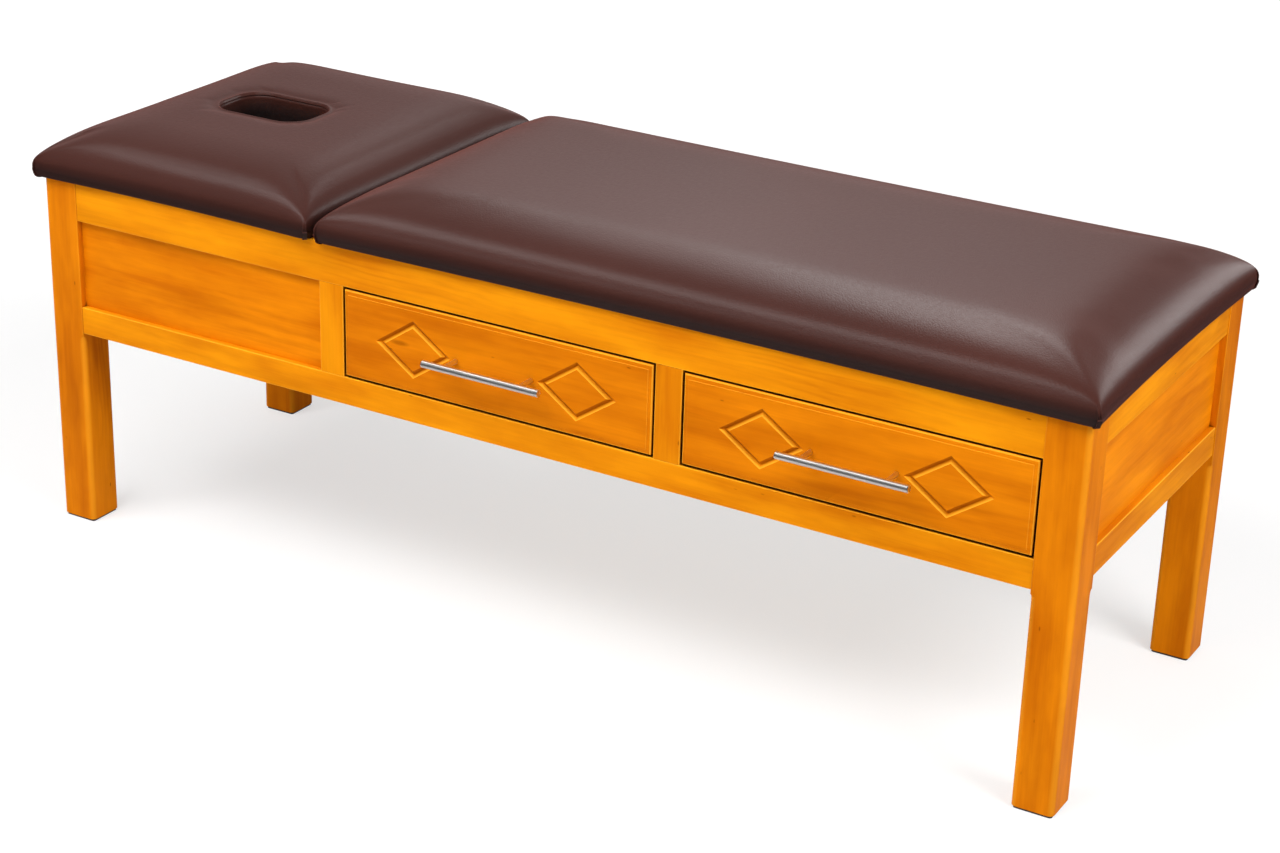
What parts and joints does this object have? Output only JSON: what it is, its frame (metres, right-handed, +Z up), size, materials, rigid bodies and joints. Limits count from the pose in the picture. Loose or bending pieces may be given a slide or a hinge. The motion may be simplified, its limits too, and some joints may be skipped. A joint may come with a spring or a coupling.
{
  "type": "spa bed with cabinet base",
  "caption": "Wooden spa bed: padded top split into a tilting head section with a face hole and a long body section, on a leg-and-rail frame with panelled sides and drawers.",
  "frame": {"origin": "on the floor, in the middle of the box round the whole bed with its handles", "axes": "+X from the head end to the foot end, -Y the side with the drawers, +Z up"},
  "size_m": [1.872, 0.6894, 0.6973],
  "materials": {
    "wood_frame": "honey-orange stain under satin varnish",
    "wood_panel": "honey-orange stain under satin varnish",
    "carcass_wood": "plain plywood and pine",
    "pad_cover": "satin coated cloth that looks like brown leather",
    "brushed_handles": "brushed",
    "zinc_steel": "zinc-plated",
    "strut_paint": "black powder coat",
    "black_plastic": "matte"
  },
  "bodies": {
    "frame": {"leg_front_left": "wood_frame", "leg_front_right": "wood_frame", "leg_back_left": "wood_frame", "leg_back_right": "wood_frame", "leg_glides": "black_plastic", "front_top_rail": "wood_frame", "front_bottom_rail": "wood_frame", "back_top_rail": "wood_frame", "back_bottom_rail": "wood_frame", "head_end_top_rail": "wood_frame", "head_end_bottom_rail": "wood_frame", "foot_end_top_rail": "wood_frame", "foot_end_bottom_rail": "wood_frame", "front_stiles": "wood_frame", "back_stiles": "wood_frame", "front_panel": "wood_panel", "back_panels": "wood_panel", "head_end_panel": "wood_panel", "foot_end_panel": "wood_panel", "partitions": "carcass_wood", "runner_cleats": "carcass_wood", "cabinet_floor": "carcass_wood", "floor_ledgers": "carcass_wood", "cross_bearers": "carcass_wood", "pad_screws": "zinc_steel", "slide_cabinet_members": "zinc_steel", "body_board": "carcass_wood", "body_pad": "pad_cover", "hinge_fixed_leaves": "zinc_steel", "hinge_fixed_screws": "zinc_steel", "hinge_pins": "zinc_steel", "strut_foot_plates": "zinc_steel", "strut_foot_pins": "zinc_steel"},
    "head": {"head_board": "carcass_wood", "head_pad": "pad_cover", "hinge_head_leaves": "zinc_steel", "hinge_head_screws": "zinc_steel", "strut_head_brackets": "zinc_steel", "strut_head_pins": "zinc_steel"},
    "strut_tube": {"strut_tubes": "strut_paint", "strut_collars": "black_plastic"},
    "strut_rod": {"strut_rods": "zinc_steel"},
    "drawer_1": {"drawer_1_front": "wood_frame", "drawer_1_sides": "carcass_wood", "drawer_1_back": "carcass_wood", "drawer_1_bottom": "carcass_wood", "drawer_1_handle_bar": "brushed_handles", "drawer_1_handle_posts": "brushed_handles", "drawer_1_handle_screws": "zinc_steel", "drawer_1_slide_inner": "zinc_steel"},
    "drawer_1_slide_mid": {"drawer_1_slide_middle": "zinc_steel"},
    "drawer_2": {"drawer_2_front": "wood_frame", "drawer_2_sides": "carcass_wood", "drawer_2_back": "carcass_wood", "drawer_2_bottom": "carcass_wood", "drawer_2_handle_bar": "brushed_handles", "drawer_2_handle_posts": "brushed_handles", "drawer_2_handle_screws": "zinc_steel", "drawer_2_slide_inner": "zinc_steel"},
    "drawer_2_slide_mid": {"drawer_2_slide_middle": "zinc_steel"}
  },
  "joints": [
    {"name": "head_tilt", "type": "hinge", "parent": "frame", "child": "head", "pos_m": [-0.369, 0.01375, 0.627], "axis": [0, 1, 0], "range_deg": [0, 30]},
    {"name": "strut_swing", "type": "hinge", "parent": "frame", "child": "strut_tube", "pos_m": [-0.5465, 0.01375, 0.3735], "axis": [0, 1, 0], "range_deg": [0, 15.01]},
    {"name": "strut_extend", "type": "slide", "parent": "strut_tube", "child": "strut_rod", "axis": [-0.5126, 0, 0.8586], "range_m": [0, 0.1395]},
    {"name": "drawer_1_pull", "type": "slide", "parent": "frame", "child": "drawer_1", "axis": [0, -1, 0], "range_m": [0, 0.42]},
    {"name": "drawer_1_slide_travel", "type": "slide", "parent": "frame", "child": "drawer_1_slide_mid", "axis": [0, -1, 0], "range_m": [0, 0.2101]},
    {"name": "drawer_2_pull", "type": "slide", "parent": "frame", "child": "drawer_2", "axis": [0, -1, 0], "range_m": [0, 0.42]},
    {"name": "drawer_2_slide_travel", "type": "slide", "parent": "frame", "child": "drawer_2_slide_mid", "axis": [0, -1, 0], "range_m": [0, 0.2101]}
  ],
  "couplings": [
    {"joint": "strut_swing", "follows": "head_tilt", "ratio": 0.5},
    {"joint": "strut_extend", "follows": "head_tilt", "m_per_rad": 0.266},
    {"joint": "drawer_1_slide_travel", "follows": "drawer_1_pull", "ratio": 0.5},
    {"joint": "drawer_2_slide_travel", "follows": "drawer_2_pull", "ratio": 0.5}
  ]
}
